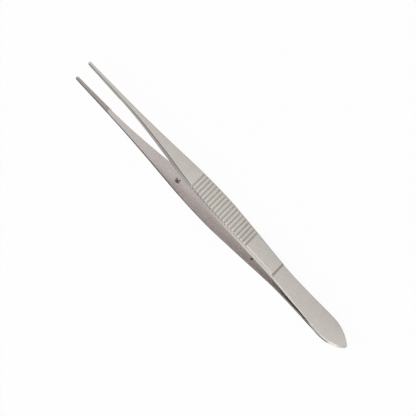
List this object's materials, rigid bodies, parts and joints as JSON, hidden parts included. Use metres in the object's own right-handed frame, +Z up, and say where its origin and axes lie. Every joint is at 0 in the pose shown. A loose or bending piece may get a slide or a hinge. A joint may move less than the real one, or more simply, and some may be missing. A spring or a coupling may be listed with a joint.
{
  "type": "thumb forceps",
  "caption": "Slender spring thumb forceps in satin steel, with narrow toothed jaws, cross-grooved grips, a guide pin and a pointed, welded tail leaf.",
  "frame": {"origin": "on the surface that the forceps lie on, under the middle of the length, midway between the arms", "axes": "+X along the forceps towards the jaw tips, Y the way the arms open, with the arm that carries the guide pin at -Y, +Z up, across the width of the arms"},
  "size_m": [0.1, 0.0104, 0.0069],
  "materials": {
    "satin_steel": "even satin grain, with brighter worn edges",
    "pin_steel": "turned, fine satin"
  },
  "bodies": {
    "root": {"front_arm": "satin_steel", "rear_arm": "satin_steel", "guide_pin": "pin_steel"}
  },
  "joints": []
}
